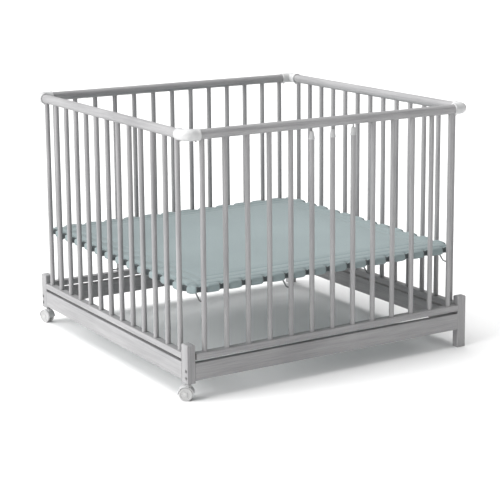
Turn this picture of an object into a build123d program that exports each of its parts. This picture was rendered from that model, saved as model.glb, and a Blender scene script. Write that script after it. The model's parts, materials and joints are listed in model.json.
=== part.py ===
"""Square wooden playpen: four barred sides on a base frame with two casters,
three spring-loaded slip bars and a floor that stands at different heights.

Millimetres. X runs along the front side, Y inward from it, Z up. The origin is
the middle of the playpen on the ground.
"""

import os
from math import cos, radians, sin

from build123d import *

os.makedirs("parts", exist_ok=True)

# ---------------------------------------------------------------------------
# Driving dimensions
# ---------------------------------------------------------------------------
outer_x = 970.0  # over the outer faces of the left and right boards
outer_y = 970.0  # over the outer faces of the front and back boards

top_rail_axis_z = 735.0
top_rail_dia = 28.0
bar_dia = 15.0
bars_x = 13  # places for bars on the front and on the back, slip bars included
bars_y = 13  # bars on the left and on the right
end_bar_gap = 1.3  # from the elbow's mouth to the side of the first bar

lower_rail_depth = 24.0
lower_rail_height = 18.0
lower_rail_bottom_z = 115.0
lower_rail_gap = 4.0  # front and back rails stop this short of the caster posts

board_thickness = 18.0
board_height = 50.0
board_bottom_z = 57.0

post_top_z = 160.0
caster_post_x = 25.0
caster_post_y = 35.0
leg_post_x = 30.0
leg_post_y = 24.0

floor_underside_z = 292.0
floor_edge = 18.0  # the floor's tabs end this far inside the boards' outer faces
floor_corner_cut = 28.0
floor_notch_clearance = 4.0  # beside each bar
floor_notch_reach = 22.0  # from the bar's axis to the notch's inner end
board_panel_thickness = 5.0
pad_thickness = 11.0
cover_thickness = 1.0
floor_height_step = 143.0  # between the two rows of peg holes

slip_travel = 8.0
slip_bar_dia = bar_dia
slip_bars = 3

wheel_dia = 38.0
wheel_width = 6.7
caster_trail = 7.0
caster_swing = {"front": 145.0, "back": 111.0}  # where each wheel pair trails, degrees from +X

# ---------------------------------------------------------------------------
# Fits and small features
# ---------------------------------------------------------------------------
glue_gap = 0.05  # round whatever is glued or pressed in
running_gap = 0.05  # round a shaft that turns or slides
contact_gap = 0.3  # between faces of pieces that move apart

bar_depth_top = 10.0
bar_depth_bottom = 12.0
edge_round = 2.0
post_top_round = 4.0
post_foot_round = 1.0

elbow_wall = 3.0
elbow_leg = 40.0  # from the corner of the axes to the elbow's mouth
elbow_bend = 20.0
elbow_rim_round = 1.5
elbow_screw_dia = 3.0
elbow_screw_head_dia = 6.0
elbow_screw_head_height = 2.0
elbow_screw_length = 16.0

bolt_dia = 6.0
bolt_head_dia = 11.0
bolt_head_height = 3.5
bolt_recess = 4.0
bolt_socket_width = 4.0
bolt_socket_depth = 2.2
bolt_reach = 32.0  # into the board
bolt_heights = (66.0, 86.0)
bolt_clearance = 0.3
barrel_nut_dia = 8.0
barrel_nut_cover = 2.0  # board left over each end of the nut
barrel_nut_reach = 22.0  # from the board's end to the nut

dowel_dia = 8.0
dowel_length = 26.0
dowel_chamfer = 1.0
board_dowel_heights = (82.0, 98.0)
dowel_in_post = 9.0

socket_dia = 11.0
socket_length = 26.0
socket_flange_dia = 16.0
socket_flange = 1.2
stem_dia = 8.0
stem_collar_dia = 12.0
stem_collar_height = 4.2
hood_boss_rise = 2.0  # above the mudguard
stem_depth_in_hood = 14.0
stem_axis_inset = 19.0  # from the outer face, so that it clears the bolts

hood_body_width = 12.0
hood_hub_dia = 18.0
hood_boss_dia = 15.0
fender_gap = 1.5
fender_wall = 2.5
fender_overlap = 0.5  # wider than the wheels on each side
wheel_side_gap = 0.3
wheel_edge_round = 1.5
wheel_dish_depth = 1.2
wheel_dish_outer_dia = 29.0
wheel_hub_dia = 12.0
axle_dia = 5.0
axle_end_cover = 2.0  # wheel wall left over the axle's end

bracket_wire_dia = 4.0
bracket_peg_depth = 5.0  # past the bar's axis
bracket_run = 25.0  # level, from the bar's axis
bracket_rise_run = 48.0
bracket_reach = 75.0
bracket_bend = 12.0
bracket_drop = 22.0  # from the floor's underside to the peg hole

cap_height = 22.5
cap_top_gap = 8.5  # between the cap and the top rail
cap_foot_wall = 1.5
cap_top_dia = 11.0
cap_overlap = 6.0  # the cap's socket over the wood
cap_roof = 3.5
spring_room_dia = 7.4
spring_room_depth = 13.0
spring_wire_dia = 0.8
spring_dia = 5.6
spring_pitch = 2.6
pin_dia = 4.0
pin_head_dia = 6.4
pin_head_height = 1.5
pin_rest_gap = 2.5  # from the pin's head to the cap's roof
pin_depth = 10.0  # into the top rail
slip_seat_depth = 7.0  # slip bar's foot in the lower rail
slip_seat_gap = 0.6

# ---------------------------------------------------------------------------
# Places worked out from the sizes above
# ---------------------------------------------------------------------------
elbow_dia = top_rail_dia + 2 * elbow_wall
cap_foot_dia = slip_bar_dia + 2 * cap_foot_wall
barrel_nut_length = board_thickness - 2 * barrel_nut_cover
hood_top_z = wheel_dia + fender_gap + fender_wall + hood_boss_rise
flange_bottom_z = hood_top_z + stem_collar_height + 2 * contact_gap
caster_post_bottom_z = flange_bottom_z + socket_flange

rail_inset = lower_rail_depth / 2  # rails and bars stand this far inside the outer faces
axis_x = outer_x / 2 - rail_inset
axis_y = outer_y / 2 - rail_inset
lower_rail_top_z = lower_rail_bottom_z + lower_rail_height
top_rail_underside_z = top_rail_axis_z - top_rail_dia / 2
bar_foot_z = lower_rail_top_z - bar_depth_bottom
bar_head_z = top_rail_underside_z + bar_depth_top
end_bar_offset = elbow_leg + end_bar_gap + bar_dia / 2  # from the corner of the rail axes
bar_pitch_x = 2 * (axis_x - end_bar_offset) / (bars_x - 1)
bar_pitch_y = 2 * (axis_y - end_bar_offset) / (bars_y - 1)
places_x = [(i - (bars_x - 1) / 2) * bar_pitch_x for i in range(bars_x)]
places_y = [(i - (bars_y - 1) / 2) * bar_pitch_y for i in range(bars_y)]

first_slip = (bars_x - slip_bars) // 2
slip_places = places_x[first_slip : first_slip + slip_bars]
# Brackets stand at both ends of the front and back and beside the slip bars,
# and at the middle of the left and right.
bracket_places_x = [places_x[0], places_x[first_slip - 1], places_x[first_slip + slip_bars], places_x[-1]]
bracket_places_y = [places_y[bars_y // 2]]

floor_thickness = 2 * cover_thickness + board_panel_thickness + pad_thickness
peg_z = floor_underside_z - bracket_drop
spare_peg_z = peg_z + floor_height_step
board_y_inset = board_thickness / 2
bar_hole_dia = bar_dia + 2 * glue_gap

# Each side has a plane on the ground under its bars: local x runs along the
# side and local y points into the playpen.
front = Plane(origin=(0, -axis_y, 0), x_dir=(1, 0, 0), z_dir=(0, 0, 1))
right = Plane(origin=(axis_x, 0, 0), x_dir=(0, 1, 0), z_dir=(0, 0, 1))
back = Plane(origin=(0, axis_y, 0), x_dir=(-1, 0, 0), z_dir=(0, 0, 1))
left = Plane(origin=(-axis_x, 0, 0), x_dir=(0, -1, 0), z_dir=(0, 0, 1))

# name: plane, half outer length, posts at its two ends, gaps of its lower rail
# there, places of its fixed bars, of its slip bars and of its brackets
sides = {
    "front": (
        front,
        outer_x / 2,
        (caster_post_x, leg_post_x),
        (lower_rail_gap, 0.0),
        [x for x in places_x if x not in slip_places],
        slip_places,
        bracket_places_x,
    ),
    "right": (right, outer_y / 2, (leg_post_y, leg_post_y), (0.0, 0.0), places_y, [], bracket_places_y),
    "back": (
        back,
        outer_x / 2,
        (leg_post_x, caster_post_x),
        (0.0, lower_rail_gap),
        places_x,
        [],
        bracket_places_x,
    ),
    "left": (left, outer_y / 2, (caster_post_y, caster_post_y), (0.0, 0.0), places_y, [], bracket_places_y),
}

# name: direction of the corner from the middle
corners = {
    "front_left": (-1, -1),
    "front_right": (1, -1),
    "back_right": (1, 1),
    "back_left": (-1, 1),
}


def across(plane, x, y, z, sign=1):
    """A plane square to the side's length, at a local point, facing along +x or -x."""
    return Plane(origin=plane.from_local_coords((x, y, z)), z_dir=plane.x_dir * sign)


def inward(plane, x, y, z):
    """A plane parallel to the side, at a local point, facing into the playpen."""
    return Plane(origin=plane.from_local_coords((x, y, z)), x_dir=plane.x_dir, z_dir=plane.y_dir)


def save(builder, name):
    """Label a finished piece and write it under its name."""
    builder.part.label = name
    export_step(builder.part, f"parts/{name}.step")


# ---------------------------------------------------------------------------
# The four sides: top rail, lower rail, base board and bars
# ---------------------------------------------------------------------------
for side, (plane, half, posts, rail_gaps, fixed_places, sliding_places, bracket_places) in sides.items():
    axis_half = half - rail_inset
    rail_half = axis_half - elbow_bend
    bar_points = [(x, 0) for x in fixed_places]
    slip_points = [(x, 0) for x in sliding_places]

    # Round top rail with a blind hole for each bar's head. Its ends sit in the elbows.
    with BuildPart() as top_rail:
        with BuildSketch(across(plane, -rail_half, 0, top_rail_axis_z)):
            Circle(top_rail_dia / 2)
        extrude(amount=2 * rail_half)
        with BuildSketch(plane.offset(top_rail_underside_z)):
            with Locations(*bar_points):
                Circle(bar_hole_dia / 2)
        extrude(amount=bar_depth_top + glue_gap, mode=Mode.SUBTRACT)
        if slip_points:
            with BuildSketch(plane.offset(top_rail_underside_z)):
                with Locations(*slip_points):
                    Circle(pin_dia / 2 + glue_gap)
            extrude(amount=pin_depth + glue_gap, mode=Mode.SUBTRACT)
        # Pilot holes for the screws that hold the elbows from below.
        screw_x = axis_half - (elbow_leg + elbow_bend) / 2
        with BuildSketch(plane.offset(top_rail_underside_z)):
            with Locations((-screw_x, 0), (screw_x, 0)):
                Circle(elbow_screw_dia / 2 + glue_gap)
        extrude(amount=elbow_screw_length, mode=Mode.SUBTRACT)
    save(top_rail, f"top_rail_{side}")

    # Lower rail: a rounded strip between the posts, with sockets for the bars' feet.
    rail_start = -half + posts[0] + rail_gaps[0]
    rail_end = half - posts[1] - rail_gaps[1]
    with BuildPart() as lower_rail:
        with BuildSketch(plane.offset(lower_rail_bottom_z)):
            with Locations(((rail_start + rail_end) / 2, 0)):
                Rectangle(rail_end - rail_start, lower_rail_depth)
        extrude(amount=lower_rail_height)
        fillet(lower_rail.edges().filter_by(Axis((0, 0, 0), plane.x_dir)), edge_round)
        with BuildSketch(plane.offset(bar_foot_z - glue_gap)):
            with Locations(*bar_points):
                Circle(bar_hole_dia / 2)
        extrude(amount=bar_depth_bottom + glue_gap, mode=Mode.SUBTRACT)
        if slip_points:
            with BuildSketch(plane.offset(lower_rail_top_z - slip_seat_depth)):
                with Locations(*slip_points):
                    Circle(slip_bar_dia / 2 + slip_seat_gap)
            extrude(amount=slip_seat_depth, mode=Mode.SUBTRACT)
        # Dowel holes in both ends.
        rail_middle_z = lower_rail_bottom_z + lower_rail_height / 2
        for end, sign, gap in ((rail_start, 1, rail_gaps[0]), (rail_end, -1, rail_gaps[1])):
            with BuildSketch(across(plane, end, 0, rail_middle_z, sign)):
                Circle(dowel_dia / 2 + glue_gap)
            extrude(amount=dowel_length - dowel_in_post - gap + glue_gap, mode=Mode.SUBTRACT)
    save(lower_rail, f"lower_rail_{side}")

    # Base board. The front and back boards take bolts and barrel nuts, the
    # left and right ones dowels.
    board_start = -half + posts[0]
    board_end = half - posts[1]
    board_y = board_y_inset - rail_inset
    with BuildPart() as base_board:
        with BuildSketch(plane.offset(board_bottom_z)):
            with Locations(((board_start + board_end) / 2, board_y)):
                Rectangle(board_end - board_start, board_thickness)
        extrude(amount=board_height)
        fillet(base_board.edges().filter_by(Axis((0, 0, 0), plane.x_dir)), edge_round)
        for end, sign in ((board_start, 1), (board_end, -1)):
            if side in ("front", "back"):
                for z in bolt_heights:
                    with BuildSketch(across(plane, end, board_y, z, sign)):
                        Circle(bolt_dia / 2 + bolt_clearance)
                    extrude(amount=bolt_reach + bolt_clearance, mode=Mode.SUBTRACT)
                    nut_x = end + sign * barrel_nut_reach
                    with BuildSketch(inward(plane, nut_x, board_y - barrel_nut_length / 2, z)):
                        Circle(barrel_nut_dia / 2 + glue_gap)
                    extrude(amount=board_thickness, mode=Mode.SUBTRACT)
            else:
                for z in board_dowel_heights:
                    with BuildSketch(across(plane, end, board_y, z, sign)):
                        Circle(dowel_dia / 2 + glue_gap)
                    extrude(amount=dowel_length - dowel_in_post + glue_gap, mode=Mode.SUBTRACT)
    save(base_board, f"base_board_{side}")

    # Fixed bars, with a used and a spare peg hole in each bar that can hold a bracket.
    with BuildPart() as bars:
        with BuildSketch(plane.offset(bar_foot_z)):
            with Locations(*bar_points):
                Circle(bar_dia / 2)
        extrude(amount=bar_head_z - bar_foot_z)
        for x in bracket_places:
            for z in (peg_z, spare_peg_z):
                with BuildSketch(inward(plane, x, -bracket_peg_depth - glue_gap, z)):
                    Circle(bracket_wire_dia / 2 + glue_gap)
                extrude(amount=bar_dia, mode=Mode.SUBTRACT)
    save(bars, f"bars_{side}")

# ---------------------------------------------------------------------------
# Corner posts. The two on the left stand on casters, the two on the right on
# their own ends.
# ---------------------------------------------------------------------------
for corner, (sx, sy) in corners.items():
    on_caster = sx < 0
    size_x = caster_post_x if on_caster else leg_post_x
    size_y = caster_post_y if on_caster else leg_post_y
    bottom_z = caster_post_bottom_z if on_caster else 0.0
    post_x = sx * (outer_x - size_x) / 2
    post_y = sy * (outer_y - size_y) / 2
    inner_x = sx * (outer_x / 2 - size_x)
    inner_y = sy * (outer_y / 2 - size_y)
    bolt_y = sy * (outer_y / 2 - board_y_inset)
    dowel_x = sx * (outer_x / 2 - board_y_inset)

    with BuildPart() as post:
        with BuildSketch(Plane.XY.offset(bottom_z)):
            with Locations((post_x, post_y)):
                Rectangle(size_x, size_y)
        extrude(amount=post_top_z - bottom_z)
        fillet(post.edges().filter_by(Axis.Z), edge_round)
        fillet(post.faces().sort_by(Axis.Z)[-1].edges(), post_top_round)
        fillet(post.faces().sort_by(Axis.Z)[0].edges(), post_foot_round)
        # Recessed bolt heads on the outer face.
        for z in bolt_heights:
            outer = Plane(origin=(sx * outer_x / 2, bolt_y, z), z_dir=(-sx, 0, 0))
            with BuildSketch(outer):
                Circle(bolt_head_dia / 2 + bolt_clearance)
            extrude(amount=bolt_recess, mode=Mode.SUBTRACT)
            with BuildSketch(outer):
                Circle(bolt_dia / 2 + bolt_clearance)
            extrude(amount=size_x, mode=Mode.SUBTRACT)
        # Dowel holes for the side board, and for both lower rails.
        for z in board_dowel_heights:
            with BuildSketch(Plane(origin=(dowel_x, inner_y, z), z_dir=(0, sy, 0))):
                Circle(dowel_dia / 2 + glue_gap)
            extrude(amount=dowel_in_post + glue_gap, mode=Mode.SUBTRACT)
        rail_holes = (
            Plane(origin=(inner_x, sy * axis_y, rail_middle_z), z_dir=(sx, 0, 0)),
            Plane(origin=(sx * axis_x, inner_y, rail_middle_z), z_dir=(0, sy, 0)),
        )
        for hole in rail_holes:
            with BuildSketch(hole):
                Circle(dowel_dia / 2 + glue_gap)
            extrude(amount=dowel_in_post + glue_gap, mode=Mode.SUBTRACT)
        if on_caster:
            with BuildSketch(Plane.XY.offset(bottom_z)):
                with Locations((post_x, sy * (outer_y / 2 - stem_axis_inset))):
                    Circle(socket_dia / 2 + glue_gap)
            extrude(amount=socket_length + glue_gap, mode=Mode.SUBTRACT)
    kind = "caster_post" if on_caster else "leg_post"
    save(post, f"{kind}_{corner.split('_')[0]}")

    # White plastic elbow: a bent tube that takes both top rails. Its plane is
    # turned so that local x and y point from the corner along the two rails.
    corner_plane = Plane(
        origin=(sx * axis_x, sy * axis_y, top_rail_axis_z),
        x_dir=(-sx, 0, 0),
        z_dir=(0, 0, sx * sy),
    )
    with BuildPart() as elbow:
        with BuildLine(corner_plane):
            FilletPolyline((elbow_leg, 0), (0, 0), (0, elbow_leg), radius=elbow_bend)
        with BuildSketch(Plane(origin=corner_plane.from_local_coords((elbow_leg, 0, 0)), z_dir=(sx, 0, 0))):
            Circle(elbow_dia / 2)
        sweep()
        fillet(elbow.edges().filter_by(GeomType.CIRCLE).filter_by(lambda e: e.is_closed), elbow_rim_round)
        mouths = (
            (corner_plane.from_local_coords((elbow_bend, 0, 0)), (-sx, 0, 0)),
            (corner_plane.from_local_coords((0, elbow_bend, 0)), (0, -sy, 0)),
        )
        for mouth, way_out in mouths:
            with BuildSketch(Plane(origin=mouth, z_dir=way_out)):
                Circle(top_rail_dia / 2 + glue_gap)
            extrude(amount=elbow_leg, mode=Mode.SUBTRACT)
        screw_reach = (elbow_leg + elbow_bend) / 2
        screw_foot_z = top_rail_axis_z - elbow_dia / 2
        with BuildSketch(Plane.XY.offset(screw_foot_z)):
            with Locations(
                (sx * (axis_x - screw_reach), sy * axis_y),
                (sx * axis_x, sy * (axis_y - screw_reach)),
            ):
                Circle(elbow_screw_dia / 2 + glue_gap)
        extrude(amount=elbow_dia / 2, mode=Mode.SUBTRACT)
    save(elbow, f"corner_elbow_{corner}")

# Screws that hold the elbows on the rails, from below.
with BuildPart() as elbow_screws:
    for sx, sy in corners.values():
        points = (
            (sx * (axis_x - screw_reach), sy * axis_y),
            (sx * axis_x, sy * (axis_y - screw_reach)),
        )
        with BuildSketch(Plane.XY.offset(screw_foot_z)):
            with Locations(*points):
                Circle(elbow_screw_dia / 2)
        extrude(amount=elbow_screw_length)
        with BuildSketch(Plane.XY.offset(screw_foot_z)):
            with Locations(*points):
                Circle(elbow_screw_head_dia / 2)
        extrude(amount=-elbow_screw_head_height)
    save(elbow_screws, "elbow_screws")

# ---------------------------------------------------------------------------
# Bolts, barrel nuts and dowels of the base frame
# ---------------------------------------------------------------------------
with BuildPart() as frame_bolts:
    for sx, sy in corners.values():
        size_x = caster_post_x if sx < 0 else leg_post_x
        for z in bolt_heights:
            seat = Plane(
                origin=(sx * (outer_x / 2 - bolt_recess), sy * (outer_y / 2 - board_y_inset), z),
                z_dir=(sx, 0, 0),
            )
            with BuildSketch(seat):
                Circle(bolt_head_dia / 2)
            extrude(amount=bolt_head_height)
            with BuildSketch(seat):
                Circle(bolt_dia / 2)
            extrude(amount=bolt_recess - size_x - bolt_reach)
            with BuildSketch(seat.offset(bolt_head_height)):
                RegularPolygon(bolt_socket_width / 2, 6, major_radius=False)
            extrude(amount=-bolt_socket_depth, mode=Mode.SUBTRACT)
save(frame_bolts, "frame_bolts")

with BuildPart() as barrel_nuts:
    for sx, sy in corners.values():
        size_x = caster_post_x if sx < 0 else leg_post_x
        nut_x = sx * (outer_x / 2 - size_x - barrel_nut_reach)
        nut_y = sy * (outer_y / 2 - board_y_inset)
        for z in bolt_heights:
            with BuildSketch(Plane(origin=(nut_x, nut_y, z), z_dir=(0, 1, 0))):
                Circle(barrel_nut_dia / 2)
            extrude(amount=barrel_nut_length / 2, both=True)
            with BuildSketch(Plane(origin=(nut_x, nut_y, z), z_dir=(1, 0, 0))):
                Circle(bolt_dia / 2 + glue_gap)
            extrude(amount=barrel_nut_dia, both=True, mode=Mode.SUBTRACT)
save(barrel_nuts, "barrel_nuts")

with BuildPart() as board_dowels:
    for sx, sy in corners.values():
        size_y = caster_post_y if sx < 0 else leg_post_y
        for z in board_dowel_heights:
            start = Plane(
                origin=(sx * (outer_x / 2 - board_y_inset), sy * (outer_y / 2 - size_y + dowel_in_post), z),
                z_dir=(0, -sy, 0),
            )
            with BuildSketch(start):
                Circle(dowel_dia / 2)
            extrude(amount=dowel_length)
    chamfer(board_dowels.edges().filter_by(GeomType.CIRCLE), dowel_chamfer)
save(board_dowels, "board_dowels")

with BuildPart() as rail_dowels:
    for sx, sy in corners.values():
        size_x = caster_post_x if sx < 0 else leg_post_x
        size_y = caster_post_y if sx < 0 else leg_post_y
        starts = (
            Plane(
                origin=(sx * (outer_x / 2 - size_x + dowel_in_post), sy * axis_y, rail_middle_z),
                z_dir=(-sx, 0, 0),
            ),
            Plane(
                origin=(sx * axis_x, sy * (outer_y / 2 - size_y + dowel_in_post), rail_middle_z),
                z_dir=(0, -sy, 0),
            ),
        )
        for start in starts:
            with BuildSketch(start):
                Circle(dowel_dia / 2)
            extrude(amount=dowel_length)
    chamfer(rail_dowels.edges().filter_by(GeomType.CIRCLE), dowel_chamfer)
save(rail_dowels, "rail_dowels")

# ---------------------------------------------------------------------------
# Casters: plastic sockets and steel stems stay in the posts, and the hoods
# swivel on the stems with an axle and two wheels each
# ---------------------------------------------------------------------------
stem_x = -(outer_x - caster_post_x) / 2
stem_y = outer_y / 2 - stem_axis_inset
stem_points = ((stem_x, -stem_y), (stem_x, stem_y))

with BuildPart() as stem_sockets:
    with BuildSketch(Plane.XY.offset(flange_bottom_z)):
        with Locations(*stem_points):
            Circle(socket_flange_dia / 2)
    extrude(amount=socket_flange)
    with BuildSketch(Plane.XY.offset(caster_post_bottom_z)):
        with Locations(*stem_points):
            Circle(socket_dia / 2)
    extrude(amount=socket_length)
    with BuildSketch(Plane.XY.offset(flange_bottom_z)):
        with Locations(*stem_points):
            Circle(stem_dia / 2 + glue_gap)
    extrude(amount=socket_length, mode=Mode.SUBTRACT)
save(stem_sockets, "stem_sockets")

stem_foot_z = hood_top_z - stem_depth_in_hood + contact_gap
with BuildPart() as caster_stems:
    with BuildSketch(Plane.XY.offset(stem_foot_z)):
        with Locations(*stem_points):
            Circle(stem_dia / 2)
    extrude(amount=caster_post_bottom_z + socket_length - socket_flange - glue_gap - stem_foot_z)
    with BuildSketch(Plane.XY.offset(hood_top_z + contact_gap)):
        with Locations(*stem_points):
            Circle(stem_collar_dia / 2)
    extrude(amount=stem_collar_height)
save(caster_stems, "caster_stems")

axle_z = wheel_dia / 2
wheel_inner = hood_body_width / 2 + wheel_side_gap
axle_length = 2 * (wheel_inner + wheel_width - axle_end_cover - wheel_dish_depth)
fender_inner_radius = wheel_dia / 2 + fender_gap
fender_outer_radius = fender_inner_radius + fender_wall
fender_half_width = wheel_inner + wheel_width + fender_overlap
for corner, sy in (("front", -1), ("back", 1)):
    swing = radians(caster_swing[corner])
    trail = Vector(cos(swing), sin(swing), 0)
    axle_middle = Vector(stem_x, sy * stem_y, axle_z) + trail * caster_trail
    # Local x points away from the stem, local y up and local z along the axle.
    rolling = Plane(origin=axle_middle, x_dir=trail, z_dir=trail.cross(Vector(0, 0, 1)))

    # Hood: a middle web that carries stem and axle, and a mudguard arch over both wheels.
    with BuildPart() as hood:
        with BuildSketch(rolling):
            Circle(hood_hub_dia / 2)
            with Locations((-caster_trail, (hood_top_z - axle_z) / 2)):
                Rectangle(hood_boss_dia, hood_top_z - axle_z - fender_wall)
            make_hull()
        extrude(amount=hood_body_width / 2, both=True)
        with BuildSketch(rolling):
            Circle(fender_outer_radius)
            Circle(fender_inner_radius, mode=Mode.SUBTRACT)
            with Locations((0, -fender_outer_radius)):
                Rectangle(2 * fender_outer_radius, 2 * fender_outer_radius, mode=Mode.SUBTRACT)
        extrude(amount=fender_half_width, both=True)
        boss_foot_z = axle_z + fender_inner_radius + contact_gap
        with BuildSketch(Plane.XY.offset(boss_foot_z)):
            with Locations((stem_x, sy * stem_y)):
                Circle(hood_boss_dia / 2)
        extrude(amount=hood_top_z - boss_foot_z)
        with BuildSketch(Plane.XY.offset(hood_top_z - stem_depth_in_hood)):
            with Locations((stem_x, sy * stem_y)):
                Circle(stem_dia / 2 + running_gap)
        extrude(amount=stem_depth_in_hood, mode=Mode.SUBTRACT)
        with BuildSketch(rolling):
            Circle(axle_dia / 2 + glue_gap / 2)
        extrude(amount=hood_body_width, both=True, mode=Mode.SUBTRACT)
    save(hood, f"caster_hood_{corner}")

    with BuildPart() as axle:
        with BuildSketch(rolling):
            Circle(axle_dia / 2)
        extrude(amount=axle_length / 2, both=True)
    save(axle, f"caster_axle_{corner}")

    # Dished wheels with closed outer faces, one on each side of the web.
    for which, sign in (("inner", -1), ("outer", 1)):
        wheel_plane = Plane(origin=axle_middle, x_dir=trail, z_dir=rolling.z_dir * sign).offset(wheel_inner)
        with BuildPart() as wheel:
            with BuildSketch(wheel_plane):
                Circle(wheel_dia / 2)
            extrude(amount=wheel_width)
            fillet(wheel.edges().filter_by(GeomType.CIRCLE), wheel_edge_round)
            with BuildSketch(wheel_plane.offset(wheel_width)):
                Circle(wheel_dish_outer_dia / 2)
                Circle(wheel_hub_dia / 2, mode=Mode.SUBTRACT)
            extrude(amount=-wheel_dish_depth, mode=Mode.SUBTRACT)
            with BuildSketch(wheel_plane):
                Circle(axle_dia / 2 + running_gap)
            extrude(amount=axle_length / 2 - wheel_inner + contact_gap, mode=Mode.SUBTRACT)
        save(wheel, f"caster_wheel_{corner}_{which}")

# ---------------------------------------------------------------------------
# Floor: a notched hardboard panel and a foam pad in a fabric cover, and the
# wire brackets that carry it
# ---------------------------------------------------------------------------
notch_radius = bar_dia / 2 + floor_notch_clearance
notch_centre = floor_notch_reach - notch_radius  # inward from the bar's axis
notch_mouth = notch_centre + rail_inset  # outward from the centre, past the floor's edge
# Each notch's bar, with the angle that points into the playpen.
notch_points = (
    [(x, -axis_y, 90) for x in places_x]
    + [(x, axis_y, -90) for x in places_x]
    + [(-axis_x, y, 0) for y in places_y]
    + [(axis_x, y, 180) for y in places_y]
)


def floor_outline(shrink):
    """The floor's outline with a round-ended notch for every bar, smaller all round by shrink."""
    with BuildSketch() as outline:
        width_x = outer_x - 2 * (floor_edge + shrink)
        width_y = outer_y - 2 * (floor_edge + shrink)
        Rectangle(width_x, width_y)
        chamfer(outline.vertices(), floor_corner_cut)
        for x, y, angle in notch_points:
            with Locations(Location((x, y), angle)):
                with Locations((notch_centre, 0)):
                    Circle(notch_radius + shrink, mode=Mode.SUBTRACT)
                    with Locations((-notch_mouth / 2, 0)):
                        Rectangle(notch_mouth, 2 * (notch_radius + shrink), mode=Mode.SUBTRACT)
    return outline.sketch


with BuildPart() as floor_board:
    with BuildSketch(Plane.XY.offset(floor_underside_z + cover_thickness)):
        add(floor_outline(cover_thickness))
    extrude(amount=board_panel_thickness)
save(floor_board, "floor_board")

with BuildPart() as floor_pad:
    with BuildSketch(Plane.XY.offset(floor_underside_z + cover_thickness + board_panel_thickness)):
        add(floor_outline(cover_thickness))
    extrude(amount=pad_thickness)
save(floor_pad, "floor_pad")

with BuildPart() as floor_cover:
    with BuildSketch(Plane.XY.offset(floor_underside_z)):
        add(floor_outline(0))
    extrude(amount=floor_thickness)
    with BuildSketch(Plane.XY.offset(floor_underside_z + cover_thickness)):
        add(floor_outline(cover_thickness))
    extrude(amount=board_panel_thickness + pad_thickness, mode=Mode.SUBTRACT)
save(floor_cover, "floor_cover")

# Bent wire brackets: a peg in the bar, a slanted rise and a level arm under the floor.
arm_z = floor_underside_z - contact_gap - bracket_wire_dia / 2
with BuildPart() as floor_brackets:
    for side_values in sides.values():
        plane, bracket_places = side_values[0], side_values[-1]
        for x in bracket_places:
            bar_foot = plane.from_local_coords((x, 0, 0))
            across_bar = Plane(origin=bar_foot, x_dir=plane.y_dir, z_dir=plane.x_dir)
            with BuildLine(across_bar):
                FilletPolyline(
                    (-bracket_peg_depth, peg_z),
                    (bracket_run, peg_z),
                    (bracket_rise_run, arm_z),
                    (bracket_reach, arm_z),
                    radius=bracket_bend,
                )
            with BuildSketch(inward(plane, x, -bracket_peg_depth, peg_z)):
                Circle(bracket_wire_dia / 2)
            sweep()
save(floor_brackets, "floor_brackets")

# ---------------------------------------------------------------------------
# Slip bars: the wood lifts against a spring inside its cap, so that its foot
# comes out of the lower rail
# ---------------------------------------------------------------------------
cap_top_z = top_rail_underside_z - cap_top_gap
cap_foot_z = cap_top_z - cap_height
wood_top_z = cap_foot_z + cap_overlap
wood_foot_z = lower_rail_top_z - slip_seat_depth + contact_gap
room_floor_z = wood_top_z - spring_room_depth
room_roof_z = cap_top_z - cap_roof
pin_head_top_z = room_roof_z - pin_rest_gap
pin_head_foot_z = pin_head_top_z - pin_head_height
spring_height = pin_head_foot_z - room_floor_z - spring_wire_dia

for number, x in enumerate(slip_places, start=1):
    with BuildPart() as slip_bar:
        with BuildSketch(front.offset(wood_foot_z)):
            with Locations((x, 0)):
                Circle(slip_bar_dia / 2)
        extrude(amount=wood_top_z - wood_foot_z)
        with BuildSketch(front.offset(room_floor_z)):
            with Locations((x, 0)):
                Circle(spring_room_dia / 2)
        extrude(amount=spring_room_depth, mode=Mode.SUBTRACT)
    save(slip_bar, f"slip_bar_{number}")

    # The cap is a cone that widens towards the wood.
    with BuildPart() as slip_cap:
        with BuildSketch(front.offset(cap_foot_z)):
            with Locations((x, 0)):
                Circle(cap_foot_dia / 2)
        with BuildSketch(front.offset(cap_top_z)):
            with Locations((x, 0)):
                Circle(cap_top_dia / 2)
        loft()
        with BuildSketch(front.offset(cap_foot_z)):
            with Locations((x, 0)):
                Circle(slip_bar_dia / 2 + glue_gap)
        extrude(amount=cap_overlap + glue_gap, mode=Mode.SUBTRACT)
        with BuildSketch(front.offset(wood_top_z)):
            with Locations((x, 0)):
                Circle(spring_room_dia / 2)
        extrude(amount=room_roof_z - wood_top_z, mode=Mode.SUBTRACT)
        with BuildSketch(front.offset(room_roof_z)):
            with Locations((x, 0)):
                Circle(pin_dia / 2 + running_gap)
        extrude(amount=cap_roof, mode=Mode.SUBTRACT)
    save(slip_cap, f"slip_cap_{number}")

    spring_foot = front.from_local_coords((x, 0, room_floor_z + spring_wire_dia / 2))
    with BuildPart() as slip_spring:
        with BuildLine():
            coil = Helix(pitch=spring_pitch, height=spring_height, radius=spring_dia / 2, center=spring_foot)
        with BuildSketch(Plane(origin=coil @ 0, z_dir=coil % 0)):
            Circle(spring_wire_dia / 2)
        sweep(is_frenet=True)
    save(slip_spring, f"slip_spring_{number}")

with BuildPart() as slip_pins:
    with BuildSketch(front.offset(pin_head_foot_z)):
        with Locations(*[(x, 0) for x in slip_places]):
            Circle(pin_head_dia / 2)
    extrude(amount=pin_head_height)
    with BuildSketch(front.offset(pin_head_foot_z)):
        with Locations(*[(x, 0) for x in slip_places]):
            Circle(pin_dia / 2)
    extrude(amount=top_rail_underside_z + pin_depth - pin_head_foot_z)
save(slip_pins, "slip_pins")
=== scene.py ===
"""Square barred playpen in grey-painted beech, with white plastic corner
elbows, two casters, three spring-loaded slip bars and a padded mint floor.

Metres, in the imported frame: X along the front side, Y inward from it, Z up.
"""

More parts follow.
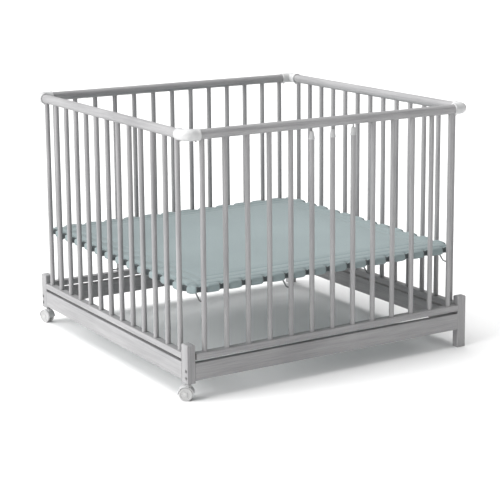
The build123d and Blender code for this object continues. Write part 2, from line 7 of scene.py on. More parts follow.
import json
from math import cos, pi, radians, sin

import bmesh
import bpy
from mathutils import Matrix, Vector


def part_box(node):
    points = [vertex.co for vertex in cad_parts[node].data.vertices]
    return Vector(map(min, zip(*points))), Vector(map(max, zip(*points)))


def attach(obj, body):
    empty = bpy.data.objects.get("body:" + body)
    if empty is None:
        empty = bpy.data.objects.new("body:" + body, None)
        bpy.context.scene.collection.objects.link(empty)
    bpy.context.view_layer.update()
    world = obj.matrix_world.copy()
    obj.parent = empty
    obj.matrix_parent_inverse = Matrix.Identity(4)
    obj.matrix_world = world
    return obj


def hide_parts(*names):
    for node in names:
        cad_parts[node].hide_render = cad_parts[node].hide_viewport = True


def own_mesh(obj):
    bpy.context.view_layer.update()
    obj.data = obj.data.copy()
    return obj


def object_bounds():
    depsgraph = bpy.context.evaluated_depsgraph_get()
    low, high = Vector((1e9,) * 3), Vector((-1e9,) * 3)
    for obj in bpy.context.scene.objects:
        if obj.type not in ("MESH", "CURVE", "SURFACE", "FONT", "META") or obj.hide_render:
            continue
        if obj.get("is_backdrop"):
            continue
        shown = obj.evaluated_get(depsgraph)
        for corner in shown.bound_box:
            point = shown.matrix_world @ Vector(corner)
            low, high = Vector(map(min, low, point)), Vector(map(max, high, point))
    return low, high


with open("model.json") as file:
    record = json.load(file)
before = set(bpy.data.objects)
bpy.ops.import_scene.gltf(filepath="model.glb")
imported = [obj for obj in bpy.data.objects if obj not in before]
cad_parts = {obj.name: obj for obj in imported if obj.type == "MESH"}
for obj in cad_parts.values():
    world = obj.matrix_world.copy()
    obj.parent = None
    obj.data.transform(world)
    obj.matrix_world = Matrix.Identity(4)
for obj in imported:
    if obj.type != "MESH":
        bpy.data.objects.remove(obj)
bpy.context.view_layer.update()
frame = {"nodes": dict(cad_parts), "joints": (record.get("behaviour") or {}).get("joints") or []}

# ---------------------------------------------------------------------------
# Studio. A white sweep that runs out past every view, two broad softboxes,
# one overhead and one on the left, and a pale room whose left wall is the
# brighter one.
# ---------------------------------------------------------------------------
scene = bpy.context.scene
scene.view_settings.view_transform = "Standard"

camera_place = Vector((-2.40066, -3.96268, 1.35864))
camera_yaw = radians(32.314)
camera_pitch = radians(10.593)
camera_roll = radians(0.279)

level_forward = Vector((sin(camera_yaw), cos(camera_yaw), 0.0))
forward = cos(camera_pitch) * level_forward - sin(camera_pitch) * Vector((0.0, 0.0, 1.0))
level_right = Vector((cos(camera_yaw), -sin(camera_yaw), 0.0))
level_down = forward.cross(level_right)
right = cos(camera_roll) * level_right + sin(camera_roll) * level_down
down = cos(camera_roll) * level_down - sin(camera_roll) * level_right

camera = bpy.data.objects.new("camera", bpy.data.cameras.new("camera"))
camera.data.lens = 109.317
camera.data.sensor_width = 36.0
camera.data.shift_x = -0.05
camera.data.shift_y = -0.14
camera.data.clip_end = 100.0
turned = Matrix((right, -down, -forward)).transposed()
camera.matrix_world = Matrix.Translation(camera_place) @ turned.to_4x4()
scene.collection.objects.link(camera)
scene.camera = camera

for name, energy, width, come_from in (
    ("overhead_softbox", 1.9, radians(60), (-0.10, 0.28, 1.0)),
    ("left_softbox", 2.6, radians(46), (-0.86, 0.10, 0.45)),
):
    light = bpy.data.objects.new(name, bpy.data.lights.new(name, "SUN"))
    light.data.energy = energy
    light.data.angle = width
    light.rotation_euler = Vector(come_from).to_track_quat("Z", "Y").to_euler()
    scene.collection.objects.link(light)


class Wire:
    """One socket in a tree of shader nodes. Arithmetic on it adds Math nodes."""

    def __init__(self, tree, socket=None):
        self.tree = tree
        self.socket = socket

    def node(self, kind, inputs, out=0, **settings):
        """Add any node: its settings first, then the values or links of its sockets."""
        made = self.tree.nodes.new("ShaderNode" + kind)
        for name, value in settings.items():
            setattr(made, name, value)
        for name, value in inputs.items():
            if isinstance(value, Wire):
                self.tree.links.new(value.socket, made.inputs[name])
            else:
                made.inputs[name].default_value = value
        return Wire(self.tree, made.outputs[out] if made.outputs else None)

    def maths(self, operation, *values):
        return self.node("Math", dict(enumerate(values)), operation=operation)

    def __add__(self, other):
        return self.maths("ADD", self, other)

    __radd__ = __add__

    def __sub__(self, other):
        return self.maths("SUBTRACT", self, other)

    def __rsub__(self, other):
        return self.maths("SUBTRACT", other, self)

    def __mul__(self, other):
        return self.maths("MULTIPLY", self, other)

    __rmul__ = __mul__

    def __abs__(self):
        return self.maths("ABSOLUTE", self)

    def sine(self):
        return self.maths("SINE", self)

    def step(self, low, high):
        """0 below low and 1 above high, with a soft rise between them."""
        span = {"Value": self, "From Min": low, "From Max": high}
        return self.node("MapRange", span, interpolation_type="SMOOTHSTEP")

    def mix(self, first, second):
        """This socket's value as the share of the second colour."""
        return self.node("Mix", {0: self, 6: first, 7: second}, out=2, data_type="RGBA")


room = bpy.data.worlds.new("room")
room.use_nodes = True
room.node_tree.nodes.clear()
wire = Wire(room.node_tree)
looking = wire.node("TexCoord", {}, out="Generated")
toward_left_wall = (-0.70, 0.30, 0.62)
bright_side = wire.node(
    "VectorMath", {0: looking, 1: toward_left_wall}, out="Value", operation="DOT_PRODUCT"
)
walls = 0.12 + 0.76 * bright_side.step(-0.5, 0.75)
seen = wire.node("LightPath", {}, out="Is Camera Ray")
strength = walls + seen * (1 - walls)
glow = wire.node("Background", {"Color": (1.0, 1.0, 1.0, 1.0), "Strength": strength})
wire.node("OutputWorld", {"Surface": glow})
scene.world = room


def finish(name, make):
    """A material whose shader sockets come from make(wire), where wire adds nodes."""
    material = bpy.data.materials.new(name)
    material.use_nodes = True
    tree = material.node_tree
    tree.nodes.clear()
    sockets = make(Wire(tree))
    shader = Wire(tree).node("BsdfPrincipled", sockets)
    Wire(tree).node("OutputMaterial", {"Surface": shader})
    return material


def noise(wire, place, scale, detail=3.0, roughness=0.5):
    sockets = {"Vector": place, "Scale": scale, "Detail": detail, "Roughness": roughness}
    return wire.node("TexNoise", sockets)


def sweep_finish(wire):
    place = wire.node("TexCoord", {}, out="Object")
    grey = noise(wire, place, 1.5, detail=2.0).mix((0.90, 0.90, 0.90, 1.0), (0.92, 0.92, 0.92, 1.0))
    return {"Base Color": grey, "Roughness": 0.9}


mesh = bmesh.new()
bmesh.ops.create_grid(mesh, x_segments=1, y_segments=1, size=60.0)
sweep_data = bpy.data.meshes.new("ground")
mesh.to_mesh(sweep_data)
mesh.free()
sweep_data.materials.append(finish("matt_white_sweep", sweep_finish))
ground = bpy.data.objects.new("ground", sweep_data)
scene.collection.objects.link(ground)
ground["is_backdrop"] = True


# ---------------------------------------------------------------------------
# Timber frame. Top rails, lower rails, base boards, posts and round bars are
# planed and turned beech, glued and dowelled, then sprayed with a satin grey
# paint thin enough for the grain to show as fine streaks.
# ---------------------------------------------------------------------------
def grain_place(wire, along, squeeze):
    """Object coordinates drawn out along one axis."""
    stretch = [1.0, 1.0, 1.0]
    stretch["XYZ".index(along)] = squeeze
    place = wire.node("TexCoord", {}, out="Object")
    return wire.node("Mapping", {"Vector": place, "Scale": stretch})


def relief(wire, height, distance, strength):
    """A surface normal from a height between 0 and 1."""
    return wire.node("Bump", {"Height": height, "Distance": distance, "Strength": strength})


def painted_beech(along):
    """The grey paint, with the grain along one axis."""

    def make(wire):
        streaks = noise(wire, grain_place(wire, along, 0.025), 420.0, detail=5.0, roughness=0.6)
        figure = noise(wire, grain_place(wire, along, 0.06), 60.0)
        pores = noise(wire, grain_place(wire, along, 0.08), 1500.0, detail=1.0).step(0.66, 0.74)
        place = wire.node("TexCoord", {}, out="Object")
        patches = noise(wire, place, 5.0, detail=2.0)
        tone = 0.45 * streaks + 0.35 * figure + 0.2 * patches
        paint = tone.step(0.32, 0.68).mix((0.215, 0.213, 0.219, 1.0), (0.345, 0.342, 0.346, 1.0))
        colour = (0.4 * pores).mix(paint, (0.13, 0.128, 0.13, 1.0))
        return {
            "Base Color": colour,
            "Roughness": 0.36 + 0.16 * streaks + 0.1 * pores,
            "Normal": relief(wire, streaks - 0.8 * pores, 0.00018, 0.5),
            "Coat Weight": 0.12,
            "Coat Roughness": 0.3,
        }

    return finish(f"grey_paint_on_beech_along_{along.lower()}", make)


def dress(material, *names):
    """Give CAD nodes a material."""
    for name in names:
        slots = frame["nodes"][name].data.materials
        slots.clear()
        slots.append(material)


paint_x = painted_beech("X")
paint_y = painted_beech("Y")
paint_z = painted_beech("Z")
for side, paint in (("front", paint_x), ("back", paint_x), ("left", paint_y), ("right", paint_y)):
    dress(paint, f"top_rail_{side}", f"lower_rail_{side}", f"base_board_{side}")
    dress(paint_z, f"bars_{side}")
dress(paint_z, "caster_post_front", "caster_post_back", "leg_post_front", "leg_post_back")
dress(paint_z, "slip_bar_1", "slip_bar_2", "slip_bar_3")


# ---------------------------------------------------------------------------
# Dowels. Fluted pegs of bare beech, glued in the ends of the boards and rails.
# They are hidden once the frame is together.
# ---------------------------------------------------------------------------
def bare_beech(wire):
    streaks = noise(wire, grain_place(wire, "Y", 0.03), 500.0, detail=4.0)
    colour = streaks.step(0.3, 0.7).mix((0.42, 0.27, 0.15, 1.0), (0.62, 0.44, 0.28, 1.0))
    return {
        "Base Color": colour,
        "Roughness": 0.6 + 0.15 * streaks,
        "Normal": relief(wire, streaks, 0.0002, 0.6),
    }


dress(finish("bare_beech", bare_beech), "board_dowels", "rail_dowels")


# ---------------------------------------------------------------------------
# Fittings of steel rod and wire. Bolts, barrel nuts, screws, caster stems,
# axles, slip pins and the brackets under the floor, all zinc plated. The
# brackets are bent wire, plugged into holes in the bars.
# ---------------------------------------------------------------------------
def zinc_plate(wire):
    place = wire.node("TexCoord", {}, out="Object")
    clouds = noise(wire, place, 160.0)
    scratches = noise(wire, grain_place(wire, "Z", 0.05), 2500.0, detail=2.0)
    return {
        "Base Color": clouds.mix((0.17, 0.172, 0.176, 1.0), (0.29, 0.29, 0.285, 1.0)),
        "Metallic": 1.0,
        "Roughness": 0.26 + 0.2 * clouds + 0.1 * scratches,
        "Normal": relief(wire, scratches, 0.00005, 0.4),
    }


zinc = finish("zinc_plated_steel", zinc_plate)
dress(zinc, "frame_bolts", "barrel_nuts", "elbow_screws", "caster_stems", "slip_pins", "floor_brackets")
dress(zinc, "caster_axle_front", "caster_axle_back")


# ---------------------------------------------------------------------------
# Stem sockets. Dark nylon sleeves pressed up into the caster posts, with a
# flange that the post stands on.
# ---------------------------------------------------------------------------
def dark_nylon(wire):
    place = wire.node("TexCoord", {}, out="Object")
    grain = noise(wire, place, 1800.0, detail=2.0)
    return {
        "Base Color": grain.mix((0.018, 0.018, 0.019, 1.0), (0.035, 0.035, 0.036, 1.0)),
        "Roughness": 0.45 + 0.15 * grain,
        "Normal": relief(wire, grain, 0.00005, 0.5),
    }


dress(finish("dark_nylon", dark_nylon), "stem_sockets")


# ---------------------------------------------------------------------------
# Corner elbows. Bent tubes moulded in white polypropylene, slipped over the
# ends of two top rails and screwed from below. Each mouth has a thicker band.
# ---------------------------------------------------------------------------
def white_polypropylene(wire):
    place = wire.node("TexCoord", {}, out="Object")
    flow = noise(wire, place, 35.0)
    skin = noise(wire, place, 2200.0, detail=1.0)
    return {
        "Base Color": flow.step(0.3, 0.7).mix((0.46, 0.465, 0.47, 1.0), (0.56, 0.56, 0.56, 1.0)),
        "Roughness": 0.3 + 0.12 * flow,
        "Normal": relief(wire, skin, 0.00003, 0.5),
        "Coat Weight": 0.1,
    }


def piece(name, mesh, material, body):
    """A finished mesh as an object that rides on a CAD body."""
    bmesh.ops.remove_doubles(mesh, verts=mesh.verts, dist=1e-6)
    bmesh.ops.recalc_face_normals(mesh, faces=mesh.faces)
    data = bpy.data.meshes.new(name)
    mesh.to_mesh(data)
    mesh.free()
    data.materials.append(material)
    data.shade_smooth()
    data.set_sharp_from_angle(angle=radians(38))
    made = bpy.data.objects.new(name, data)
    scene.collection.objects.link(made)
    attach(made, body)
    return made


def edges_of(parts):
    return [part for part in parts if isinstance(part, bmesh.types.BMEdge)]


def points_of(parts):
    return [part for part in parts if isinstance(part, bmesh.types.BMVert)]


def carry_on(mesh, ring, start, way, radius, stations):
    """Draw a tube's open end out along way. Each station is a distance from start and a radius."""
    reached = 0.0
    for distance, wider in stations:
        grown = bmesh.ops.extrude_edge_only(mesh, edges=ring)["geom"]
        rim = points_of(grown)
        ring = [edge for edge in edges_of(grown) if set(edge.verts) <= set(rim)]
        bmesh.ops.translate(mesh, vec=way * (distance - reached), verts=rim)
        middle = Matrix.Translation(-(start + way * distance))
        bmesh.ops.scale(mesh, vec=[wider / radius] * 3, space=middle, verts=rim)
        reached = distance
        radius = wider
    bmesh.ops.contextual_create(mesh, geom=ring)


white = finish("white_polypropylene", white_polypropylene)
rail_low, rail_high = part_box("top_rail_front")
rail_radius = (rail_high.z - rail_low.z) / 2
rail_z = (rail_high.z + rail_low.z) / 2
rail_y = abs(rail_high.y + rail_low.y) / 2
rail_x = abs(sum(corner.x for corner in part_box("top_rail_left"))) / 2

elbow_bend = 0.020
elbow_leg = 0.040
band_radius = rail_radius + 0.003
shell_radius = rail_radius + 0.0023
bore_radius = rail_radius + 0.0001
mouth = elbow_leg - elbow_bend
mouth_stations = [
    (mouth - 0.0065, shell_radius),
    (mouth - 0.0058, band_radius),
    (mouth - 0.0008, band_radius),
    (mouth - 0.0002, band_radius - 0.0006),
    (mouth, band_radius - 0.0014),
    (mouth - 0.0002, bore_radius + 0.0003),
    (mouth - 0.001, bore_radius),
    (0.0005, bore_radius),
]
for corner, sx, sy in (
    ("front_left", -1, -1),
    ("front_right", 1, -1),
    ("back_right", 1, 1),
    ("back_left", -1, 1),
):
    mesh = bmesh.new()
    upright = Matrix.Translation((elbow_bend, 0, 0)) @ Matrix.Rotation(pi / 2, 4, "Y")
    bmesh.ops.create_circle(mesh, radius=shell_radius, segments=56, matrix=upright)
    first_ring = mesh.edges[:]
    swept = bmesh.ops.spin(
        mesh,
        geom=mesh.verts[:] + mesh.edges[:],
        cent=(elbow_bend, elbow_bend, 0),
        axis=(0, 0, 1),
        angle=-pi / 2,
        steps=16,
    )
    last_ring = edges_of(swept["geom_last"])
    for ring, start, way in (
        (first_ring, Vector((elbow_bend, 0, 0)), Vector((1, 0, 0))),
        (last_ring, Vector((0, elbow_bend, 0)), Vector((0, 1, 0))),
    ):
        carry_on(mesh, ring, start, way, shell_radius, mouth_stations)
    to_corner = Matrix.Translation((sx * rail_x, sy * rail_y, rail_z)) @ Matrix.Diagonal((-sx, -sy, 1, 1))
    bmesh.ops.transform(mesh, matrix=to_corner, verts=mesh.verts)
    elbow = piece(f"elbow_{corner}", mesh, white, "root")
    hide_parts(f"corner_elbow_{corner}")


# ---------------------------------------------------------------------------
# Casters. Each hood is one white moulding: a web that holds stem and axle, a
# mudguard over both wheels and a boss on top. The wheels are dished discs
# with a hub and six ribs, clipped on the axle's ends.
# ---------------------------------------------------------------------------
def wheel_nylon(wire):
    place = wire.node("TexCoord", {}, out="Object")
    flow = noise(wire, place, 70.0)
    scuffs = noise(wire, grain_place(wire, "Z", 0.3), 900.0).step(0.58, 0.75)
    plain = flow.mix((0.42, 0.42, 0.42, 1.0), (0.50, 0.50, 0.495, 1.0))
    return {
        "Base Color": (0.25 * scuffs).mix(plain, (0.30, 0.295, 0.29, 1.0)),
        "Roughness": 0.38 + 0.2 * scuffs,
        "Normal": relief(wire, scuffs, 0.00004, 0.5),
    }


def turned_on(mesh, points, steps=64, angle=2 * pi):
    """Turn a line of (distance from the Z axis, height) points about that axis."""
    line = [mesh.verts.new((distance, 0, height)) for distance, height in points]
    edges = [mesh.edges.new(pair) for pair in zip(line, line[1:])]
    full = angle == 2 * pi
    bmesh.ops.spin(
        mesh, geom=line + edges, cent=(0, 0, 0), axis=(0, 0, 1), angle=angle, steps=steps, use_merge=full
    )


def block(mesh, size, matrix):
    """A rectangular rib or plate."""
    bmesh.ops.create_cube(mesh, size=1.0, matrix=matrix @ Matrix.Diagonal((*size, 1.0)))


def add_to(mesh, other):
    """Put a second mesh into the first, and let go of it."""
    data = bpy.data.meshes.new("part")
    other.to_mesh(data)
    other.free()
    mesh.from_mesh(data)
    bpy.data.meshes.remove(data)


nylon = finish("white_nylon_wheel", wheel_nylon)
wheel_low, wheel_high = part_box("caster_wheel_front_inner")
wheel_radius = (wheel_high.z - wheel_low.z) / 2
wheel_width = 0.0067
hub_radius = 0.006
rim_inside = wheel_radius - 0.0046
dish_floor = wheel_width - 0.0012
bore = 0.0026
bore_depth = 0.0036
rib_count = 6
rib_width = 0.0016
rib_height = 0.0012
web_half = 0.006
web_end_radius = 0.009
web_below_top = 0.0025
web_edge = 0.0008
wheel_inset = web_half + 0.0003
guard_inner = wheel_radius + 0.0015
guard_outer = wheel_radius + 0.0040
guard_half = wheel_inset + wheel_width + 0.0005
boss_radius = 0.0075
stem_hole = 0.0041
stem_hole_depth = 0.003
hood_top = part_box("caster_hood_front")[1].z

wheel_outline = [
    (0, bore_depth),
    (bore, bore_depth),
    (bore, 0),
    (wheel_radius - 0.0015, 0),
    (wheel_radius - 0.0004, 0.0004),
    (wheel_radius, 0.0015),
    (wheel_radius, wheel_width - 0.0016),
    (wheel_radius - 0.0005, wheel_width - 0.0005),
    (wheel_radius - 0.0016, wheel_width),
    (rim_inside + 0.0003, wheel_width),
    (rim_inside - 0.0003, dish_floor),
    (hub_radius + 0.0004, dish_floor),
    (hub_radius, wheel_width - 0.0003),
    (hub_radius - 0.0005, wheel_width),
    (0, wheel_width),
]
guard_outline = [
    (guard_inner, -guard_half + 0.0004),
    (guard_inner + 0.0004, -guard_half),
    (guard_outer - 0.0014, -guard_half),
    (guard_outer - 0.0004, -guard_half + 0.0005),
    (guard_outer, -guard_half + 0.0018),
    (guard_outer, guard_half - 0.0018),
    (guard_outer - 0.0004, guard_half - 0.0005),
    (guard_outer - 0.0014, guard_half),
    (guard_inner + 0.0004, guard_half),
    (guard_inner, guard_half - 0.0004),
    (guard_inner, -guard_half + 0.0004),
]
joints = {joint["name"]: joint for joint in frame["joints"]}
for end in ("front", "back"):
    axle = Vector(joints[f"wheel_spin_{end}_inner"]["pos_m"])
    stem = Vector(joints[f"caster_swivel_{end}"]["pos_m"])
    trail = Vector((axle.x - stem.x, axle.y - stem.y, 0.0))
    trail_length = trail.length
    trail.normalize()
    # Local x runs from the stem to the axle, local y up and local z along the axle.
    up = Vector((0, 0, 1))
    rolling = Matrix((trail, up, trail.cross(up))).transposed().to_4x4()
    rolling = Matrix.Translation(axle) @ rolling

    mesh = bmesh.new()
    bmesh.ops.create_cone(
        mesh,
        cap_ends=True,
        segments=40,
        radius1=web_end_radius,
        radius2=web_end_radius,
        depth=2 * web_half,
        matrix=rolling,
    )
    hood_height = hood_top - axle.z
    shank_middle = rolling @ Matrix.Translation((-trail_length, hood_height / 2, 0))
    block(mesh, (2 * boss_radius, hood_height - web_below_top, 2 * web_half), shank_middle)
    # Only the points go into the hull, because their faces would stay inside it.
    bmesh.ops.delete(mesh, geom=mesh.edges[:], context="EDGES_FACES")
    hull = bmesh.ops.convex_hull(mesh, input=mesh.verts[:])
    bmesh.ops.delete(mesh, geom=points_of(hull["geom_interior"]), context="VERTS")
    bmesh.ops.dissolve_limit(mesh, angle_limit=radians(2), verts=mesh.verts, edges=mesh.edges)
    sharp = [edge for edge in mesh.edges if edge.calc_face_angle(0.0) > radians(50)]
    bmesh.ops.bevel(
        mesh, geom=sharp, offset=web_edge, segments=2, profile=0.5, affect="EDGES", material=-1
    )

    guard = bmesh.new()
    turned_on(guard, guard_outline, steps=48, angle=pi)
    bmesh.ops.remove_doubles(guard, verts=guard.verts, dist=1e-6)
    bmesh.ops.holes_fill(guard, edges=guard.edges, sides=0)
    bmesh.ops.transform(guard, matrix=rolling, verts=guard.verts)
    add_to(mesh, guard)

    boss = bmesh.new()
    boss_foot = guard_inner + axle.z + 0.0004
    boss_outline = [
        (0, boss_foot),
        (boss_radius, boss_foot),
        (boss_radius, hood_top - 0.0014),
        (boss_radius - 0.0003, hood_top - 0.0005),
        (boss_radius - 0.0011, hood_top),
        (stem_hole + 0.0002, hood_top),
        (stem_hole, hood_top - 0.0003),
        (stem_hole, hood_top - stem_hole_depth),
        (0, hood_top - stem_hole_depth),
    ]
    turned_on(boss, boss_outline, steps=40)
    bmesh.ops.translate(boss, vec=(stem.x, stem.y, 0), verts=boss.verts)
    add_to(mesh, boss)
    hood = piece(f"hood_{end}", mesh, white, f"caster_{end}")
    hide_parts(f"caster_hood_{end}")

    for which, side in (("inner", -1), ("outer", 1)):
        mesh = bmesh.new()
        turned_on(mesh, wheel_outline)
        for number in range(rib_count):
            spoke = Matrix.Rotation(number * 2 * pi / rib_count, 4, "Z")
            spoke = spoke @ Matrix.Translation(((hub_radius + rim_inside) / 2, 0, dish_floor + 0.0002))
            block(mesh, (rim_inside - hub_radius, rib_width, rib_height), spoke)
        flip = Matrix.Diagonal((1, 1, side, 1)) @ Matrix.Translation((0, 0, wheel_inset))
        bmesh.ops.transform(mesh, matrix=rolling @ flip, verts=mesh.verts)
        wheel = piece(f"wheel_{end}_{which}", mesh, nylon, f"wheel_{end}_{which}")
        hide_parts(f"caster_wheel_{end}_{which}")


# ---------------------------------------------------------------------------
# Slip bar caps and springs. White cones pressed on the tops of the three bars
# that lift out, with a bead at the foot and ribs for the fingers. The pin from
# the top rail runs down inside, against a spring of oiled, drawn wire.
# ---------------------------------------------------------------------------
def spring_wire(wire):
    place = wire.node("TexCoord", {}, out="Object")
    draw_lines = noise(wire, place, 3000.0, detail=1.0)
    return {
        "Base Color": draw_lines.mix((0.24, 0.24, 0.25, 1.0), (0.42, 0.42, 0.43, 1.0)),
        "Metallic": 1.0,
        "Roughness": 0.3 + 0.15 * draw_lines,
    }


spring_steel = finish("drawn_spring_wire", spring_wire)
top_radius = 0.0055
rib_stand = 0.0007
wood_hole = 0.0076
wood_hole_depth = 0.006
room_radius = 0.0037
pin_hole = 0.0021
roof = 0.0035
bead = 0.0034
finger_rib_count = 12
finger_rib_depth = 0.0011
finger_rib_width = 0.0009
for number in (1, 2, 3):
    low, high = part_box(f"slip_cap_{number}")
    foot_radius = (high.x - low.x) / 2
    height = high.z - low.z
    taper = (foot_radius - top_radius) / height
    mesh = bmesh.new()
    cap_outline = [
        (wood_hole, 0),
        (wood_hole, wood_hole_depth),
        (room_radius, wood_hole_depth),
        (room_radius, height - roof),
        (pin_hole, height - roof),
        (pin_hole, height),
        (top_radius - 0.0014, height),
        (top_radius - 0.0005, height - 0.0005),
        (top_radius - 0.0001, height - 0.0015),
        (foot_radius - taper * (bead + 0.0008) - rib_stand, bead + 0.0008),
        (foot_radius - taper * bead, bead),
        (foot_radius, 0.0006),
        (foot_radius - 0.0005, 0),
        (wood_hole, 0),
    ]
    turned_on(mesh, cap_outline, steps=48)
    rib_foot = bead + 0.001
    rib_top = height - 0.004
    rib_middle = (rib_foot + rib_top) / 2
    for turn in range(finger_rib_count):
        rib = Matrix.Rotation(turn * 2 * pi / finger_rib_count, 4, "Z")
        rib = rib @ Matrix.Translation((foot_radius - taper * rib_middle - rib_stand, 0, rib_middle))
        rib = rib @ Matrix.Rotation(-taper, 4, "Y")
        block(mesh, (finger_rib_depth, finger_rib_width, rib_top - rib_foot), rib)
    bmesh.ops.translate(mesh, vec=((low.x + high.x) / 2, (low.y + high.y) / 2, low.z), verts=mesh.verts)
    cap = piece(f"slip_cap_ribbed_{number}", mesh, white, f"slip_{number}")
    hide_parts(f"slip_cap_{number}")

    # The spring hangs from the pin's head and is kept as a fixed copy on the frame; on the real playpen it
    # shortens as the bar is lifted.
    mesh = bmesh.new()
    mesh.from_mesh(frame["nodes"][f"slip_spring_{number}"].data)
    spring = piece(f"spring_{number}", mesh, spring_steel, "root")
    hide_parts(f"slip_spring_{number}")
    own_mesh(spring)


# ---------------------------------------------------------------------------
# Floor. A hardboard panel under foam, in a sewn cover of coated mint-grey
# cloth. Its edge is notched round every bar, and three lines of stitching run
# round it parallel to the sides, so the foam stands up between them.
# ---------------------------------------------------------------------------
cover_low, cover_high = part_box("floor_cover")
floor_half = cover_high.x
seams = (floor_half - 0.020, floor_half - 0.053, floor_half - 0.086)
seam_depths = (0.0030, 0.0022, 0.0014)

bars_low, bars_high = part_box("bars_left")
bar_radius = (bars_high.x - bars_low.x) / 2
bars_per_side = 13
pitch = (bars_high.y - bars_low.y - 2 * bar_radius) / (bars_per_side - 1)
places = [(number - (bars_per_side - 1) / 2) * pitch for number in range(bars_per_side)]
notch_radius = bar_radius + 0.0065
notch_end = 0.023
notch_centre = rail_x - notch_end + notch_radius
corner_cut = 0.028


def mint_cloth(wire):
    """Coated plain weave in mint grey, stitched along the seams, with painted shade darkening it round each
    notch.
    """
    place = wire.node("TexCoord", {}, out="Object")
    x = wire.node("SeparateXYZ", {"Vector": place}, out="X")
    y = wire.node("SeparateXYZ", {"Vector": place}, out="Y")
    thread_turn = 2 * pi * 900.0
    warp = (x * thread_turn).sine()
    weft = (y * thread_turn).sine()
    weave = 0.5 + 0.25 * warp * weft + 0.25 * noise(wire, place, 1400.0, detail=2.0)
    slub = noise(wire, place, 240.0, detail=4.0)
    shade = noise(wire, place, 3.5, detail=2.0)
    tone = (0.5 * slub + 0.5 * shade).step(0.3, 0.7)
    cloth = tone.mix((0.185, 0.232, 0.238, 1.0), (0.22, 0.27, 0.276, 1.0))
    across = wire.maths("MAXIMUM", abs(x), abs(y))
    along = x + wire.maths("GREATER_THAN", abs(x), abs(y)) * (y - x)
    stitch_length = 0.0035
    dashes = (along * (2 * pi / stitch_length)).sine().step(-0.5, 0.1)
    thread = 0.0
    for seam in seams:
        line = 1 - abs(across - seam).step(0.0005, 0.0011)
        thread = line * dashes + thread
    from_bar = wire.maths("PINGPONG", along, pitch / 2)
    past_centre = wire.maths("MINIMUM", across - notch_centre, 0.0)
    from_notch = wire.maths("SQRT", from_bar * from_bar + past_centre * past_centre)
    # Painted shade: the cloth round each notch is darkened to stand for the shadow inside the notch.
    painted_notch_shade = 1 - from_notch.step(notch_radius + 0.0008, notch_radius + 0.0024)
    sewn = (0.8 * thread).mix(cloth, (0.29, 0.34, 0.345, 1.0))
    return {
        "Base Color": (0.85 * painted_notch_shade).mix(sewn, (0.035, 0.042, 0.045, 1.0)),
        "Roughness": 0.62 + 0.15 * slub,
        "Normal": relief(wire, 0.5 * weave + 0.5 * slub + 1.5 * thread, 0.0003, 0.5),
        "Sheen Weight": 0.15,
        "Sheen Roughness": 0.5,
    }


def settled(made):
    """Make what a piece's modifiers do permanent."""
    graph = bpy.context.evaluated_depsgraph_get()
    data = bpy.data.meshes.new_from_object(made.evaluated_get(graph))
    made.modifiers.clear()
    made.data = data


def loose_object(name, mesh):
    data = bpy.data.meshes.new(name)
    mesh.to_mesh(data)
    mesh.free()
    made = bpy.data.objects.new(name, data)
    scene.collection.objects.link(made)
    return made


def clamped(value, low, high):
    return min(max(value, low), high)


def bell(away):
    """1 in the middle, falling to 0 at 1 and beyond."""
    return 0.5 + 0.5 * cos(pi * min(away, 1.0))


# The cover starts inside its outline by as much as the filling may push it out.
most_out = 0.0012
most_up = 0.003
most_down = 0.001
voxel = 0.0056
loft = 0.0065
rim_round = 0.004
slab_height = cover_high.z - cover_low.z + loft
upper = cover_low.z + slab_height / 2
slab_half = floor_half - most_out

mesh = bmesh.new()
block(mesh, (2 * slab_half, 2 * slab_half, slab_height), Matrix.Translation((0, 0, upper)))
uprights = [edge for edge in mesh.edges if abs(edge.verts[0].co.z - edge.verts[1].co.z) > slab_height / 2]
bmesh.ops.bevel(
    mesh, geom=uprights, offset=corner_cut, segments=1, profile=0.5, affect="EDGES", material=-1
)
rims = [edge for edge in mesh.edges if all(vert.co.z > upper for vert in edge.verts)]
bmesh.ops.bevel(mesh, geom=rims, offset=rim_round, segments=2, profile=0.5, affect="EDGES", material=-1)
floor_mat = loose_object("floor_mat", mesh)

cut_height = 3 * slab_height
cut_length = 0.06
mesh = bmesh.new()
for quarter in range(4):
    for place in places:
        notch = Matrix.Rotation(quarter * pi / 2, 4, "Z") @ Matrix.Translation((notch_centre, place, upper))
        bmesh.ops.create_cone(
            mesh,
            cap_ends=True,
            segments=24,
            radius1=notch_radius,
            radius2=notch_radius,
            depth=cut_height,
            matrix=notch,
        )
        throat = notch @ Matrix.Translation((cut_length / 2, 0, 0))
        block(mesh, (cut_length, 2 * notch_radius, cut_height - 0.002), throat)
cutter = loose_object("notches", mesh)
cut = floor_mat.modifiers.new("notches", "BOOLEAN")
cut.object = cutter
cut.operation = "DIFFERENCE"
cut.solver = "EXACT"
cut.use_self = True
even = floor_mat.modifiers.new("even", "REMESH")
even.mode = "VOXEL"
even.voxel_size = voxel
soften = floor_mat.modifiers.new("soften", "SMOOTH")
soften.factor = 0.5
soften.iterations = 2
settled(floor_mat)
bpy.data.objects.remove(cutter)

# Fill the cover: pressure swells it between the held lines of stitching and
# the panel that the underside is pulled flat on.
rest = [vert.co.copy() for vert in floor_mat.data.vertices]
underside = cover_low.z + 0.004
held = floor_mat.vertex_groups.new(name="held")
for number, point in enumerate(rest):
    outward = max(abs(point.x), abs(point.y))
    on_seam = min(abs(outward - seam) for seam in seams) < voxel / 2
    if point.z < underside or (on_seam and point.z > upper):
        held.add([number], 1.0, "REPLACE")
filling = floor_mat.modifiers.new("filling", "CLOTH")
filling.settings.quality = 3
filling.settings.mass = 0.3
filling.settings.vertex_group_mass = "held"
filling.settings.use_pressure = True
filling.settings.uniform_pressure_force = 4.0
filling.settings.effector_weights.gravity = 0.0
last_step = 20
filling.point_cache.frame_start = 1
filling.point_cache.frame_end = last_step
for step in range(1, last_step + 1):
    scene.frame_set(step)
graph = bpy.context.evaluated_depsgraph_get()
swollen = [vert.co.copy() for vert in floor_mat.evaluated_get(graph).data.vertices]
floor_mat.modifiers.clear()
scene.frame_set(1)
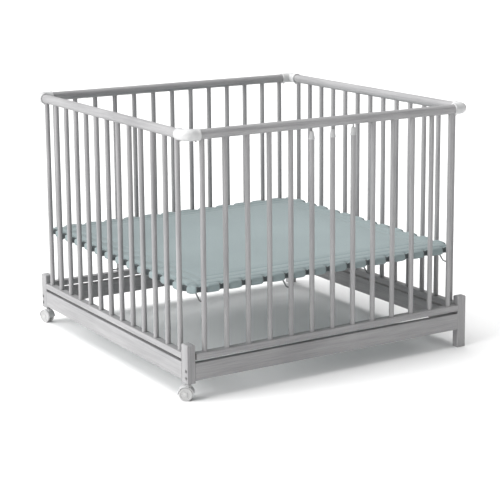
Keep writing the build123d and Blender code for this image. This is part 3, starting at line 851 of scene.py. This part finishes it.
for vert, start, end in zip(floor_mat.data.vertices, rest, swollen):
    moved = end - start
    rise = clamped(moved.z, -most_down, most_up)
    sideways = Vector((moved.x, moved.y, 0.0))
    if sideways.length > most_out:
        sideways *= most_out / sideways.length
    vert.co = start + Vector((sideways.x, sideways.y, rise))

# Along the sides the skin is made finer. Then the stitching is drawn down into
# the foam, the tongues between the bars are rounded off, and a crease runs in
# from each notch.
border = seams[-1] - 0.012
mesh = bmesh.new()
mesh.from_mesh(floor_mat.data)


def in_border(vert):
    return vert.co.z > upper - 0.004 and max(abs(vert.co.x), abs(vert.co.y)) > border


finer = [edge for edge in mesh.edges if in_border(edge.verts[0]) and in_border(edge.verts[1])]
bmesh.ops.subdivide_edges(mesh, edges=finer, cuts=1, use_grid_fill=True)
bmesh.ops.triangulate(mesh, faces=[face for face in mesh.faces if len(face.verts) > 4])
skin = [vert for vert in mesh.verts if in_border(vert)]
for again in range(2):
    bmesh.ops.smooth_vert(mesh, verts=skin, factor=0.5, use_axis_x=True, use_axis_y=True, use_axis_z=True)

seam_width = 0.007
round_off = 0.012
notch_dip = 0.0035
edge_dip = 0.0015
crease_dip = 0.0028
crease_width = 0.005
crease_length = 0.034
for vert in skin:
    outward = max(abs(vert.co.x), abs(vert.co.y))
    sideways = min(abs(vert.co.x), abs(vert.co.y))
    from_bar = abs(sideways - pitch * round(sideways / pitch))
    dip = 0.0
    for seam, depth in zip(seams, seam_depths):
        dip += depth * bell(abs(outward - seam) / seam_width)
    from_notch = (from_bar**2 + min(outward - notch_centre, 0.0) ** 2) ** 0.5 - notch_radius
    dip += notch_dip * (1 - clamped(from_notch / round_off, 0.0, 1.0)) ** 2
    dip += edge_dip * (1 - clamped((floor_half - outward) / round_off, 0.0, 1.0)) ** 2
    run = (notch_centre - notch_radius - outward) / crease_length
    if 0 < run < 1:
        dip += crease_dip * (1 - run) * bell(from_bar / crease_width)
    vert.co.z -= dip * clamped((vert.co.z - upper) / (slab_height / 2), 0.0, 1.0)
mesh.to_mesh(floor_mat.data)
mesh.free()

floor_mat.data.materials.clear()
floor_mat.data.materials.append(finish("mint_cloth", mint_cloth))
floor_mat.data.shade_smooth()
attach(floor_mat, "floor")
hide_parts("floor_cover", "floor_pad", "floor_board")

# ---------------------------------------------------------------------------
# Sizes: the bounds of everything shown, apart from the backdrop.
# ---------------------------------------------------------------------------
low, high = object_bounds()
